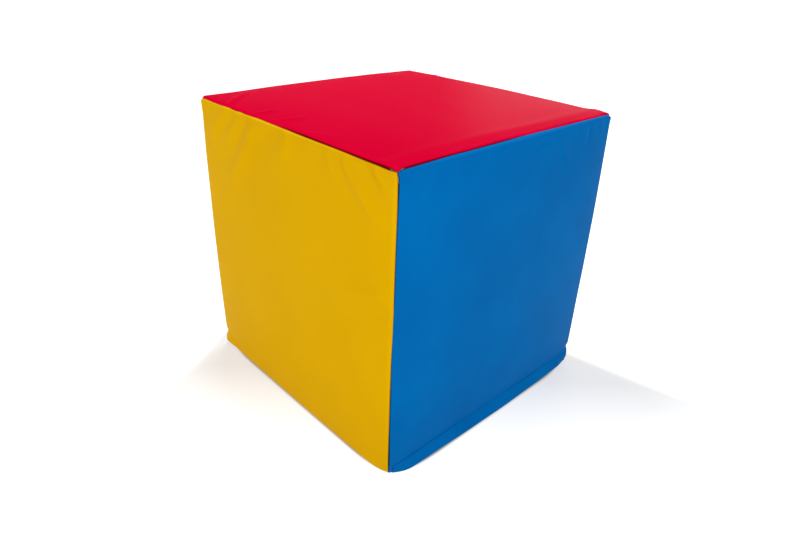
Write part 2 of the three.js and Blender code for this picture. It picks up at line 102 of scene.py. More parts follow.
def cover_normal(q):
    """Which way the cover faces: each part is 0 over the flat, and the tangent of up to 45 degrees over the
    round at the edge."""
    turn = np.maximum(0, np.abs(q) - (1 - round_share)) / round_share
    slope = np.sign(q) * np.tan(turn * math.pi / 4)
    return slope / np.linalg.norm(slope, axis=0)


def cover_point(q, depth):
    """A point of the cover: the half sizes less the round, in the share that q has of each, then out along
    the normal by the round's radius less the depth."""
    straight = np.stack([half_size(k, q) for k in range(3)]) - roll_radius
    straight = straight * np.sign(q) * np.minimum(1, np.abs(q) / (1 - round_share))
    point = straight + (roll_radius - depth) * cover_normal(q)
    return point + np.array([0, 0, centre_height]).reshape((3,) + (1,) * (q.ndim - 1))


# Each face's normal, and the directions across and along it
faces = {
    "top": ((0, 0, 1), (1, 0, 0), (0, 1, 0)),
    "base": ((0, 0, -1), (0, 1, 0), (1, 0, 0)),
    "front": ((0, -1, 0), (1, 0, 0), (0, 0, 1)),
    "back": ((0, 1, 0), (0, 0, 1), (1, 0, 0)),
    "left": ((-1, 0, 0), (0, 0, 1), (0, 1, 0)),
    "right": ((1, 0, 0), (0, 1, 0), (0, 0, 1)),
}


def direction_on(face, a, b):
    """The face's normal plus a across and b along it. Past 1 a direction goes on round the cube's edge."""
    normal, across, along = (np.array(v, float).reshape(3, 1, 1) for v in faces[face])
    held_a, held_b = np.clip(a, -1, 1), np.clip(b, -1, 1)
    past = np.abs(a) - np.abs(held_a) + np.abs(b) - np.abs(held_b)
    return normal * (1 - past) + across * held_a + along * held_b


def places(point, face):
    """A point's two places on a face, in metres: y and z on the left and right, x and z on the front and
    back, x and y on the top and base."""
    return {"t": point[:2], "b": point[:2] if face == "base" else point[[0, 2]],
            "f": point[[0, 2]], "l": point[1:], "r": point[1:]}[face[0]]


def fold(at, route, height, width, spread=1.8, valley=0.4):
    """The height of a fold of cloth: a bell across its route, with a shallow valley at each side.

    The route is a smooth curve through the given points in millimetres. The fold starts within an eighth of
    it, dies away over its second half, and widens from width to width times spread. The valleys are a bell
    2.4 times as wide, taken away.
    """
    route = np.array(route, float) / 1000
    pieces = 24
    t = np.linspace(0, 1, pieces + 1)
    knots = np.linspace(0, 1, len(route))
    fit = np.polynomial.polynomial.polyfit(knots, route, len(route) - 1)
    line = np.stack([np.polynomial.polynomial.polyval(t, fit[:, k]) for k in (0, 1)])
    start, step = line[:, :-1], np.diff(line)
    offset = at[..., None] - start.reshape(2, *(1,) * (at.ndim - 1), -1)
    step = step.reshape(2, *(1,) * (at.ndim - 1), -1)
    share = np.clip((offset * step).sum(0) / (step ** 2).sum(0), 0, 1)
    gap = np.sqrt(((offset - share * step) ** 2).sum(0))
    nearest = gap.argmin(-1)
    gap = np.take_along_axis(gap, nearest[..., None], -1)[..., 0]
    along = (nearest + np.take_along_axis(share, nearest[..., None], -1)[..., 0]) / pieces
    wide = width * (1 + (spread - 1) * along)
    strength = smooth(0, 0.12, along) * (1 - smooth(0.45, 1, along))
    bell = np.exp(-((gap / wide) ** 2)) - valley * np.exp(-((gap / (2.4 * wide)) ** 2))
    return height * strength * bell


def dent(point, middle, sizes, height):
    """A bump or, with a height below 0, a dent: a bell in each of the three directions round its middle."""
    reach = [((point[k] - middle[k]) / sizes[k]) ** 2 for k in range(3)]
    return height * np.exp(-sum(reach))


def sway(at, seed, height, length):
    """The slow unevenness of cloth over foam: twelve sine waves of about one length, turned every way."""
    waves = 12
    draw = np.random.default_rng(seed)
    turns = draw.uniform(0, math.pi, waves)
    shares = draw.uniform(0.7, 1.6, waves)
    starts = draw.uniform(0, 6.3, waves)
    total = 0
    for turn, share, start in zip(turns, shares, starts):
        wave = 2 * math.pi / (length * share)
        total = total + np.sin(wave * (at[0] * math.cos(turn) + at[1] * math.sin(turn)) + start)
    return height * total / waves ** 0.5


# Folds that the photographed sides show, and like ones on the sides it hides: route, height and width
folds = {
    "left": [
        ([(166, 590), (226, 548), (268, 506)], 0.0057, 0.0120),
        ([(122, 590), (170, 542), (214, 498)], 0.0057, 0.0120),
        ([(78, 590), (116, 524), (166, 464), (222, 407)], 0.0076, 0.0140),
        ([(30, 588), (48, 545), (86, 500)], -0.0030, 0.0120),
        ([(-30, 590), (-10, 548), (20, 503)], 0.0057, 0.0130),
        ([(-132, 588), (-152, 548), (-176, 512)], 0.0027, 0.0120),
        ([(-168, 588), (-206, 547), (-246, 512), (-272, 488)], 0.0061, 0.0110),
        ([(-214, 588), (-240, 560), (-266, 540)], -0.0030, 0.0085),
        ([(-240, 588), (-262, 568), (-286, 552)], 0.0042, 0.0080),
        ([(-284, 386), (-194, 351), (-105, 316)], 0.0057, 0.0132),
        ([(-205, 194), (-232, 200), (-262, 198)], 0.0025, 0.0132),
    ],
    "front": [
        ([(104, 582), (134, 538), (158, 498)], 0.0020, 0.0085),
        ([(29, 570), (70, 574), (104, 568)], -0.0015, 0.0060),
        ([(-228, 574), (-236, 562), (-246, 548)], -0.0020, 0.0060),
        ([(-128, 574), (-146, 558), (-170, 538)], -0.0017, 0.0080),
        ([(209, 580), (207, 560), (203, 540)], -0.0017, 0.0055),
        ([(-3, 466), (2, 452), (5, 436)], -0.0010, 0.0080),
        ([(-99, 428), (-88, 416), (-77, 404)], -0.0010, 0.0080),
        ([(-286, 112), (-266, 108), (-244, 100)], 0.0020, 0.0060),
    ],
    "right": [
        ([(-60, 586), (-120, 500), (-190, 430)], -0.0033, 0.0120),
        ([(40, 586), (60, 540), (66, 500)], -0.0022, 0.0108),
        ([(180, 586), (215, 530), (250, 470)], -0.0031, 0.0108),
        ([(272, 240), (200, 262), (120, 270)], 0.0024, 0.0132),
    ],
    "back": [
        ([(-120, 574), (-150, 530), (-170, 490)], 0.0024, 0.0090),
        ([(60, 574), (96, 530), (140, 500)], 0.0027, 0.0090),
        ([(230, 574), (250, 548), (262, 520)], 0.0020, 0.0070),
        ([(-270, 60), (-220, 90), (-150, 110)], 0.0024, 0.0090),
    ],
    "top": [
        ([(-296, 180), (-274, 196), (-232, 232), (-196, 240)], 0.0028, 0.0060),
        ([(-296, 96), (-275, 88), (-250, 84), (-240, 66)], 0.0028, 0.0055),
        ([(-290, 34), (-263, 17), (-240, 10), (-226, -2)], 0.0028, 0.0055),
        ([(-290, -60), (-272, -100), (-262, -150)], 0.0014, 0.0070),
        ([(286, 200), (262, 150), (250, 90)], 0.0017, 0.0080),
    ],
    "base": [],
}

# Small puckers below the top seam, in millimetres along it from the face's middle
pucker_places = [-262, -221, -196, -150, -118, -71, -38, 12, 47, 92, 121, 168, 203, 239, 266]

# The corners, where the foam is short of the cover or fills it: place, reach each way, and height
corner_dents = [
    ((-0.300, 0.296, 0.038), (0.030, 0.034, 0.007), -0.0030),
    ((-0.300, 0.296, 0.014), (0.030, 0.040, 0.014), 0.0044),
    ((0.298, -0.298, 0.040), (0.034, 0.030, 0.007), -0.0030),
    ((0.298, -0.298, 0.015), (0.040, 0.030, 0.014), 0.0022),
    ((-0.296, -0.298, 0.002), (0.024, 0.026, 0.026), -0.0090),
    ((-0.296, -0.300, 0.046), (0.022, 0.030, 0.007), -0.0016),
    ((0.298, 0.298, 0.044), (0.034, 0.034, 0.008), -0.0026),
    ((-0.300, 0.300, 0.600), (0.050, 0.060, 0.030), 0.0022),
    ((0.300, -0.300, 0.600), (0.050, 0.050, 0.020), 0.0022),
]


def drawn_in(point):
    """The corners' dents and swellings together."""
    return sum(dent(point, middle, sizes, height) for middle, sizes, height in corner_dents)


def cover_height(face, point):
    """How far the cover stands out from its plain form: its folds, puckers and slow unevenness, which die
    away towards the seams, and the dents of the corners, which go over them."""
    at = places(point, face)
    inside = [half - np.abs(at[0]), half - np.abs(at[1] - (0 if face in ("top", "base") else half))]
    clear = smooth(0.004, 0.016, np.minimum(*inside))
    total = sway(at, len(face) + ord(face[0]), 0.00026, 0.140)
    for route, height, width in folds[face]:
        total = total + fold(at, route, height, width)
    if face not in ("top", "base"):
        draw = np.random.default_rng(ord(face[1]))
        below = draw.uniform(0.012, 0.024, len(pucker_places))
        depths = draw.uniform(0.0003, 0.0009, len(pucker_places))
        for place, low, deep in zip(pucker_places, below, depths):
            aside, down = at[0] - place / 1000, at[1] - (edge - roll_radius - low)
            total = total - deep * np.exp(-((aside / 0.008) ** 2) - (down / 0.009) ** 2)
    if face == "top":
        # a soft crest, 40 mm from the front seam, where the cloth begins to fall to it
        crest_place = -0.260 - 0.003 * np.sin(14 * at[0])
        total = total + 0.0024 * np.exp(-(((at[1] - crest_place) / 0.016) ** 2))
    return total * clear + drawn_in(point)


def two_sided(distances):
    """Places of grid lines from one seam to the other: the side they belong to, and how far from it."""
    distances = np.unique(np.round(distances, 6))
    side = np.concatenate([-np.ones(len(distances)), [1], np.ones(len(distances))])
    return side, np.concatenate([distances, [unit], distances[::-1]])


def make_mesh(name, points, quads, material, sharp=50, from_seam=None):
    """An object from an array of points in metres and one of four-sided faces, smooth but for edges sharper
    than the angle. Each point may carry its distance from the nearest seam, which the material reads."""
    mesh = bpy.data.meshes.new(name)
    used, quads = np.unique(quads, return_inverse=True)
    mesh.from_pydata(points[used], [], quads.reshape(-1, 4))
    mesh.polygons.foreach_set("use_smooth", np.ones(len(mesh.polygons), bool))
    mesh.set_sharp_from_angle(angle=math.radians(sharp))
    if from_seam is not None:
        mesh.attributes.new("from_seam", "FLOAT", "POINT").data.foreach_set("value", from_seam[used])
    mesh.materials.append(material)
    made = bpy.data.objects.new(name, mesh)
    bpy.context.scene.collection.objects.link(made)
    return made


def painted(red, green, blue):
    """A colour read from a paint chart, 0 to 255, as the light that it gives back."""
    value = np.array([red, green, blue]) / 255
    light = np.where(value <= 0.04045, value / 12.92, ((value + 0.055) / 1.055) ** 2.4)
    return (*light.tolist(), 1)


def new_material(name, colour, roughness, shine=0.5):
    """A material with one colour, roughness and strength of shine, with its node tree to build on."""
    material = bpy.data.materials.new(name)
    material.use_nodes = True
    shader = material.node_tree.nodes["Principled BSDF"]
    shader.inputs["Base Color"].default_value = colour
    shader.inputs["Roughness"].default_value = roughness
    shader.inputs["Specular IOR Level"].default_value = shine
    return material, material.node_tree, shader


def feed(tree, node, inputs):
    """Gives a node's inputs their values, or the other nodes' outputs that lead to them."""
    for name, value in inputs.items():
        if isinstance(value, bpy.types.NodeSocket):
            tree.links.new(value, node.inputs[name])
        else:
            node.inputs[name].default_value = value


def add_node(tree, kind, inputs=None, **settings):
    """The outputs of a new shader node with these settings and inputs."""
    node = tree.nodes.new("ShaderNode" + kind)
    for name, value in settings.items():
        setattr(node, name, value)
    feed(tree, node, inputs or {})
    return node.outputs


def tint_between(tree, share, dark, light, dark_until=0, light_from=1):
    """A colour between a dark and a light one: dark up to one share, and light from another."""
    ramp = tree.nodes.new("ShaderNodeValToRGB")
    for element, place, colour in zip(ramp.color_ramp.elements, (dark_until, light_from), (dark, light)):
        element.position = place
        element.color = colour
    feed(tree, ramp, {"Fac": share})
    return ramp.outputs["Color"]


def foam_material():
    """Open cells of about half a millimetre, over a slow yellowing."""
    material, tree, shader = new_material("foam", painted(232, 226, 208), 0.95)
    where = add_node(tree, "TexCoord")["Object"]
    cells = add_node(tree, "TexVoronoi", {"Vector": where, "Scale": 1400})["Distance"]
    bump = add_node(tree, "Bump", {"Height": cells, "Strength": 0.6, "Distance": 0.0004})["Normal"]
    age = add_node(tree, "TexNoise", {"Vector": where, "Scale": 9})["Fac"]
    tint = tint_between(tree, age, painted(224, 212, 182), painted(238, 233, 219))
    feed(tree, shader, {"Base Color": tint, "Normal": bump})
    return material


seam_room = 0.0125  # how far the seam allowances press the foam in at its edges
foam_gap = 0.0008
foot_gap_up = 0.0004
foam_front = -half + 0.0062
zip_room = 0.010  # how much further back the foam stands behind the zip


def foam_block():
    """Six grids, each the cover's form seen from inside: deeper by the cloth and its fit, by the cover's
    own valleys, and at the edges by the room that the seam allowances take. It steps back behind the zip."""
    steps = np.concatenate([np.arange(0, 0.030, 0.003), np.arange(0.030, unit, 0.008)])
    line = np.concatenate([-(1 - steps / unit), [0], (1 - steps / unit)[::-1]])
    points, quads = [], []
    for face in faces:
        a, b = np.meshgrid(line, line, indexing="ij")
        q = direction_on(face, a, b)
        height = cover_height(face, cover_point(q, 0))
        near = unit * (1 - np.sort(np.abs(q), axis=0)[1])
        pressed = seam_room * (1 - smooth(0.004, 0.034, near))
        point = cover_point(q, cloth + cover_fit + pressed + foam_gap - np.minimum(height, 0))
        point[2] = np.maximum(point[2], cloth + cover_fit + foot_gap_up)
        behind = zip_room * (1 - smooth(0.040, 0.052, point[2])) * (point[1] < -half + 0.060)
        point[1] = np.where(behind > 0, np.maximum(point[1], foam_front + behind), point[1])
        count = len(line)
        first = sum(len(p) for p in points) + np.arange(count * count).reshape(count, count)
        cells = np.stack([first[:-1, :-1], first[1:, :-1], first[1:, 1:], first[:-1, 1:]], -1)
        quads.append(cells.reshape(-1, 4))
        points.append(point.reshape(3, -1).T)
    points, quads = np.concatenate(points), np.concatenate(quads)
    _, first, same = np.unique(np.round(points, 6), axis=0, return_index=True, return_inverse=True)
    return make_mesh("foam_block", points[first], same.reshape(-1)[quads], foam_material())


block = foam_block()
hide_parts("foam_core")
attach(block, "cover")


# The top panel
# Red vinyl-coated cloth, a millimetre thick, with a fine pressed leather grain and a satin finish.
# It is sewn to the four sides along the cube's edges, with the allowances turned in.
seam_gap = 0.0004
seam_dip = 0.0018  # the groove at a seam
seam_dip_width = 0.0025
allowance = 0.008
corner_clip = 0.020  # how much of an allowance is cut away at its ends
top_reach = 0.004
seam_fade = 0.016  # over this length a seam's reach fades to none at a corner
seam_spread = 0.040  # over this width the cloth's grid takes up a seam's reach
front_overlap = 0.0015
base_turn_up = 0.0035
corner_post = 0.017  # the front's full-height strip at each side of the zip
front_line = -(half - crown)
opening_half = half - crown - corner_post
opening_place = opening_half * (half - roll_radius) / (half - crown - bow - roll_radius)

# How far the first panel of a seam reaches round the cube's edge onto the second one's side
seam_reaches = {
    ("front", "top"): top_reach,
    ("back", "top"): top_reach,
    ("left", "top"): 0,
    ("right", "top"): 0,
    ("left", "base"): quarter_round,
    ("right", "base"): quarter_round,
    ("back", "base"): quarter_round,
    ("front", "base"): quarter_round,
    ("left", "front"): front_overlap,
    ("left", "back"): 0,
    ("right", "front"): 0,
    ("right", "back"): 0,
}


def seam_wander(face, other, place):
    """A hand-guided seam strays by a millimetre or two along its length, in slow waves of its own."""
    photographed = {"lf": (0.6, 2.6), "ft": (0.9, 2.1), "lt": (0.2, 2.4)}
    start, turns = photographed.get(face[0] + other[0], (len(face), 2.8))
    return 0.0011 * np.sin(turns * place + start) + 0.0004 * np.sin(9 * place + start)


def reach_at(face, other, place):
    """A panel's reach over one of its edges, at a place from -1 to 1 along it: the seam's own, fading to
    none at the corners, and along the zip the little that the base panel turns up."""
    fade = smooth(0, seam_fade, (1 - np.abs(place)) * unit)
    if (face, other) in seam_reaches:
        usual = (seam_reaches[face, other] + seam_wander(face, other, place)) * fade
    else:
        usual = -(seam_reaches[other, face] + seam_wander(face, other, place)) * fade
    if (face, other) != ("base", "front"):
        return usual
    inside = opening_place - np.abs(place) * unit
    return usual + (base_turn_up - usual) * smooth(cloth, cloth + roll_radius, inside)


def at_zip(face, other):
    """Whether two faces meet along the zip."""
    return {face, other} == {"base", "front"}


def neighbour(axis, side):
    """The face that looks along an axis, or the other way where side is -1."""
    direction = tuple(value * side for value in axis)
    return next(name for name, (normal, _, _) in faces.items() if normal == direction)


def skin(face, a_lines, b_lines, inner):
    """Directions of a panel's grid for its outer or inner skin, and how deep in a seam's groove each is.

    A line's place is its distance from the seam it belongs to, moved by the seam's reach there. The inner
    skin ends further in, by the thickness of the cloth. The groove is a bell across the seam.
    """
    _, across, along = faces[face]
    (a_side, a_far), (b_side, b_far) = a_lines, b_lines
    inward = -cloth if inner else 0

    def share(far):
        return np.maximum(0, 1 - far / seam_spread)

    def placed(side, far, axis, crossing_side, crossing_far):
        crossing = crossing_side * (unit - crossing_far + inward * share(crossing_far)) / unit
        reach, groove = 0, 0
        for half_of in (-1, 1):
            other = neighbour(axis, half_of)
            inset = seam_gap / 2 + cloth * (inner and not at_zip(face, other))
            mine = side == half_of
            reach = reach + mine * (reach_at(face, other, crossing) - inset)
            groove = groove + mine * (0 if at_zip(face, other) else np.exp(-((far / seam_dip_width) ** 2)))
        return side * (unit - far + reach * share(far)) / unit, groove

    a, a_groove = placed(a_side[:, None], a_far[:, None], across, b_side[None], b_far[None])
    b, b_groove = placed(b_side[None], b_far[None], along, a_side[:, None], a_far[:, None])
    return direction_on(face, a, b), seam_dip * np.maximum(a_groove, b_groove)


def panel_grid(face, a_lines, b_lines, layers=None):
    """A panel's outer and inner skins as grids of points, with a ring round each for the seam allowance.

    Both skins follow the cover's folds. The ring's points are the ends of the allowances, turned straight
    in. It also gives which cells are cloth: the ring's are cut away near the corners and along the zip.
    """
    q_out, dip_out = skin(face, a_lines, b_lines, False)
    q_in, dip_in = skin(face, a_lines, b_lines, True)
    plain_out, plain_in = cover_point(q_out, dip_out), cover_point(q_in, dip_in)
    thick = cloth * (1 if layers is None else layers(plain_in))
    outer = cover_point(q_out, dip_out - cover_height(face, plain_out))
    inner = cover_point(q_in, dip_in + thick - cover_height(face, plain_in))
    outer[2] = np.maximum(outer[2], 0)
    inner[2] = np.maximum(inner[2], thick)
    n, m = outer.shape[1:]
    ringed = [np.pad(points, ((0, 0), (1, 1), (1, 1)), mode="edge") for points in (outer, inner)]
    keep = np.zeros((n + 1, m + 1), bool)
    keep[1:-1, 1:-1] = True
    _, across, along = faces[face]
    (a_side, a_far), (b_side, b_far) = a_lines, b_lines
    borders = [
        (across, -1, (0, slice(1, -1)), (0, slice(None)), b_far),
        (across, 1, (-1, slice(1, -1)), (-1, slice(None)), b_far),
        (along, -1, (slice(1, -1), 0), (slice(None), 0), a_far),
        (along, 1, (slice(1, -1), -1), (slice(None), -1), a_far),
    ]
    for axis, side, ring, row, line_far in borders:
        straight_in = -cover_normal(q_out[(slice(None), *row)])
        for points, long in zip(ringed, (allowance, allowance - cloth)):
            points[(slice(None), *ring)] += straight_in * long
        whole = (line_far > corner_clip) & (not at_zip(face, neighbour(axis, side)))
        keep[ring] = whole[:-1] & whole[1:]
    return ringed[0], ringed[1], keep


def closed_cloth(name, outer, inner, keep, material, sharp=50, from_seam=None):
    """A closed piece of cloth: the outer skin, the inner one turned round, and a wall between them wherever
    a cell of cloth borders on none."""
    n, m = outer.shape[1:]
    index = np.arange(n * m).reshape(n, m)
    cells = np.stack([index[:-1, :-1], index[1:, :-1], index[1:, 1:], index[:-1, 1:]], -1)[keep]
    under = cells[:, ::-1] + n * m
    closed = np.pad(keep, 1).astype(int)
    walls = []
    for step, first, last, turn in (
        (closed[1:-1, 1:] - closed[1:-1, :-1], index[:-1, :], index[1:, :], 1),
        (closed[1:, 1:-1] - closed[:-1, 1:-1], index[:, :-1], index[:, 1:], -1),
    ):
        for sign, begin, end in ((turn, last, first), (-turn, first, last)):
            found = step == sign
            walls.append(np.stack([begin[found], end[found], end[found] + n * m, begin[found] + n * m], -1))
    points = np.concatenate([outer.reshape(3, -1).T, inner.reshape(3, -1).T])
    quads = np.concatenate([cells, under, *walls])
    marks = np.full(n * m, 1.0) if from_seam is None else from_seam.reshape(-1)
    return make_mesh(name, points, quads, material, sharp, np.tile(marks, 2))


def seam_distances(face, a_lines, b_lines):
    """How far each point of a panel's ringed grid is from the nearest sewn seam. None runs along the zip,
    and a point with none near it counts as a metre away."""
    _, across, along = faces[face]
    far = [np.where([at_zip(face, neighbour(axis, s)) if s else False for s in side], 1.0, distance)
           for axis, (side, distance) in ((across, a_lines), (along, b_lines))]
    return np.pad(np.minimum(far[0][:, None], far[1][None]), 1, constant_values=0)


highlight_low = 0.5850  # the heights between which a painted highlight pales the cloth over the round under a top seam
highlight_high = 0.5935
# Painted shade in a seam's groove starts at the first distance from the seam and is full at the second.
groove_shade_width = 0.0018
groove_shade_core = 0.0006


def calculated(tree, operation, *values, kind="Math", output="Value"):
    """The result of a sum on up to three values."""
    return add_node(tree, kind, dict(enumerate(values)), operation=operation)[output]


def ranged(tree, value, place=(0, 1), result=(0, 1), steps="LINEAR"):
    """Where a value lies between two places, as a result between two others."""
    ends = {"From Min": place[0], "From Max": place[1], "To Min": result[0], "To Max": result[1]}
    return add_node(tree, "MapRange", {"Value": value, **ends}, interpolation_type=steps)["Result"]


def vinyl(name, colour, light, dark, shine, groove, strip):
    """Leather grain about a millimetre across, pressed into the coating, and a slow drift of colour and
    gloss. Painted shade darkens the colour in the groove at a seam, and a painted highlight makes it paler
    over the round below a top seam."""
    material, tree, shader = new_material(name, colour, 0.42, shine)
    where = add_node(tree, "TexCoord")["Object"]
    grain = {"Vector": where, "Scale": 760, "Smoothness": 0.6}
    pebbles = add_node(tree, "TexVoronoi", grain, feature="SMOOTH_F1")["Distance"]
    creases = add_node(tree, "TexNoise", {"Vector": where, "Scale": 260, "Detail": 3})["Fac"]
    relief = calculated(tree, "MULTIPLY_ADD", pebbles, 0.9, creases)
    bump = add_node(tree, "Bump", {"Height": relief, "Strength": 0.45, "Distance": 0.00022})["Normal"]
    gloss = ranged(tree, creases, result=(0.36, 0.47))
    drift = add_node(tree, "TexNoise", {"Vector": where, "Scale": 7, "Detail": 4})["Fac"]
    tint = tint_between(tree, drift, dark, light, 0.3, 0.7)
    # Painted highlight: a paler colour over the round below a top seam, chosen by height alone.
    height = add_node(tree, "SeparateXYZ", {"Vector": where})["Z"]
    highlight_share = ranged(tree, height, (highlight_low, highlight_high), steps="SMOOTHSTEP")
    with_highlight = add_node(tree, "Mix", {"Factor": highlight_share, "A": tint, "B": strip}, data_type="RGBA")
    # Painted shade: a darker colour in the groove at a seam, set by the distance from it.
    seam = add_node(tree, "Attribute", attribute_name="from_seam")["Fac"]
    groove_shade_share = ranged(tree, seam, (groove_shade_width, groove_shade_core))
    groove_shade_mix = {"Factor": groove_shade_share, "A": with_highlight["Result"], "B": groove}
    painted_colour = add_node(tree, "Mix", groove_shade_mix, data_type="RGBA")["Result"]
    feed(tree, shader, {"Base Color": painted_colour, "Roughness": gloss, "Normal": bump})
    return material


def sewn_panel(face, a_lines, b_lines, material):
    """A whole panel: its grid, made into closed cloth that knows its seams."""
    grid = panel_grid(face, a_lines, b_lines)
    marks = seam_distances(face, a_lines, b_lines)
    return closed_cloth(f"panel_{face}_cloth", *grid, material, from_seam=marks)


# The groove colour is painted seam shade. The strip colour is the panel's own red.
red_vinyl = vinyl(
    "red_vinyl", painted(223, 0, 51), painted(227, 0, 54), painted(218, 0, 47), 0.001,
    groove=painted(160, 4, 24), strip=painted(223, 0, 51),
)
near_seam = np.arange(0, 0.012, 0.0008)
beside_seam = np.arange(0.012, 0.044, 0.0016)
further_in = np.concatenate([np.arange(0.044, 0.130, 0.003), np.arange(0.130, unit - 0.002, 0.0052)])
even_lines = two_sided(np.concatenate([near_seam, beside_seam, further_in]))

panel_top = sewn_panel("top", even_lines, even_lines, red_vinyl)
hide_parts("panel_top")
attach(panel_top, "cover")


# The left and right panels
# Yellow vinyl-coated cloth. The seams round the top draw it into the fans of folds that run down from them.
# The groove colour is painted seam shade, and the strip colour is a painted highlight.
yellow_vinyl = vinyl(
    "yellow_vinyl", painted(221, 169, 0), painted(223, 171, 0), painted(219, 167, 0), 0.007,
    groove=painted(176, 118, 0), strip=painted(255, 214, 40),
)

panel_left = sewn_panel("left", even_lines, even_lines, yellow_vinyl)
panel_right = sewn_panel("right", even_lines, even_lines, yellow_vinyl)
for made, node in ((panel_left, "panel_left"), (panel_right, "panel_right")):
    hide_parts(node)
    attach(made, "cover")


# The front panel
# Blue vinyl-coated cloth. Its lower edge is cut away over the zip, between two posts, and turned up inside
# there as a hem.
# The groove colour is painted seam shade, and the strip colour is a painted highlight.
blue_vinyl = vinyl(
    "blue_vinyl", painted(0, 103, 174), painted(0, 107, 179), painted(0, 99, 169), 0.008,
    groove=painted(8, 40, 96), strip=painted(12, 122, 200),
)
hem_depth = 0.012
hem_top = band_height + hem_depth
round_level = roll_radius + base_crown - stand_flat


def from_lower_seam(height):
    """Distance of a height on the front from the seam under it, along the cover and as the seam's reach
    moves it."""
    return (height - round_level + 2 * quarter_round) / (1 + quarter_round / seam_spread)


def band_wave(x):
    """The stitch line over the zip wavers by half a millimetre, as far as a straight hinge line allows."""
    return 0.0004 * np.sin(34 * x + 0.5) + 0.0003 * np.sin(71 * x + 2)


def front_layers(point):
    """How many layers of cloth the front has at a point: two in the hem, one above it."""
    return 2 - smooth(hem_top - 0.0006, hem_top + 0.0006, point[2])


post_side = unit - opening_place
band_from = from_lower_seam(band_height)
hem_from = from_lower_seam(hem_top)
near_post = post_side + np.array([-0.0010, -0.0004, 0, 0.0006, 0.0014])
near_band = band_from + np.array([0, 0.0003, 0.0007, 0.0012, 0.0020])
near_hem = hem_from + np.array([-0.0008, 0, 0.0008])
base_lines = np.concatenate([near_seam, beside_seam])


def without(lines, extra):
    """Lines with the extra ones put in, and those nearer to them than half a millimetre taken out."""
    kept = lines[np.abs(lines[:, None] - extra[None]).min(1) > 0.0005]
    return np.concatenate([kept, extra])


high_half = np.sort(np.concatenate([base_lines, further_in]))
low_half = np.sort(without(high_half, np.concatenate([near_band, near_hem])))
front_across = two_sided(without(high_half, near_post))
front_along = (
    np.concatenate([-np.ones(len(low_half)), [1], np.ones(len(high_half))]),
    np.concatenate([low_half, [unit], high_half[::-1]]),
)


def front_panel():
    """The panel's grid, its lines beside the opening moved onto the opening's border, and its cells inside
    it taken out. The hem's fold is rounded by drawing the outer skin in over the last millimetre."""
    def line_at(lines, side, distance):
        return 1 + int(np.abs(lines[1] * (lines[0] == side) - distance).argmin())

    outer, inner, keep = panel_grid("front", front_across, front_along, front_layers)
    post_lines = [line_at(front_across, side, post_side) for side in (-1, 1)]
    band_line = line_at(front_along, -1, band_from)
    for points in (outer, inner):
        for line, side in zip(post_lines, (-1, 1)):
            points[0, line, : band_line + 1] = side * opening_half
        points[2, :, band_line] = band_height + band_wave(points[0, :, band_line])
    over = np.clip((outer[2] - band_height) / cloth, 0, 1)
    at_hem = (np.abs(outer[0]) <= opening_half) & (outer[2] > 0.02)
    outer[1] += 0.25 * cloth * (1 - np.sqrt(1 - (1 - over) ** 2)) * at_hem
    keep[post_lines[0] : post_lines[1], :band_line] = False
    marks = seam_distances("front", front_across, front_along)
    return closed_cloth("panel_front_cloth", outer, inner, keep, blue_vinyl, from_seam=marks)


panel_front = front_panel()
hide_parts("panel_front")
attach(panel_front, "cover")


# The back panel
# Blue vinyl-coated cloth, sewn on all four sides.
panel_back = sewn_panel("back", even_lines, even_lines, blue_vinyl)
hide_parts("panel_back")
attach(panel_back, "cover")


# The base panel
# Red vinyl-coated cloth that the cube stands on. Along the zip its edge is turned up the front, under the
# teeth.
opening_from = unit - opening_place + cloth
turned = opening_from + np.arange(0, roll_radius + 0.001, 0.0008)
base_along = two_sided(without(high_half, turned))
panel_base = sewn_panel("base", even_lines, base_along, red_vinyl)
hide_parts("panel_base")
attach(panel_base, "cover")


# The flap over the zip
# A strip of the blue cloth folded double, its raw edges sewn under the front's hem and its fold hanging to
# the floor. The zip and the foam's weight push it out in the middle of its length.
flap_foot = 0.002
flap_push = 0.0070  # how far the middle of the flap's foot bulges
flap_lift = 0.0016  # how far its foot is lifted
end_draw = 0.0036  # how far the ends of its foot are drawn in
flap_gap = 0.0004
stitch_gap = 0.0002
seat_gap = 0.00045
tape_thick = 0.0007
tooth_thick = 0.0024
run_gap = 0.0003
slider_plate = 0.001
slider_nose = 0.011
bail_height = 0.0012
bail_width = 0.0024
foot_gap = 0.0004
turn_up_angle = (1 + base_turn_up / quarter_round) * math.pi / 4
base_edge_top = round_level - (roll_radius - cloth) * math.cos(turn_up_angle)
zip_height = base_edge_top + foot_gap + slider_nose / 2
zip_plane = front_line + 2 * cloth + seat_gap + tape_thick / 2
flap_top = band_height - stitch_gap
bail_face = zip_plane - tooth_thick / 2 - run_gap - slider_plate - bail_height
flap_inside = front_line + cloth / 2
flap_slant = (flap_inside - bail_face + flap_gap) / (flap_top - zip_height - bail_width / 2)


def along_route(route, count):
    """Points spaced evenly along a route of points, whose last axis runs along it."""
    length = np.concatenate([[0], np.cumsum(np.linalg.norm(np.diff(route), axis=0))])
    even = np.linspace(0, length[-1], count)
    return np.stack([np.interp(even, length, part) for part in route])


def beside(route, far):
    """A route in y and z moved aside by a distance, square to the way it runs."""
    step = np.gradient(route, axis=1)
    return route + far * np.stack([step[1], -step[0]]) / np.linalg.norm(step, axis=0)


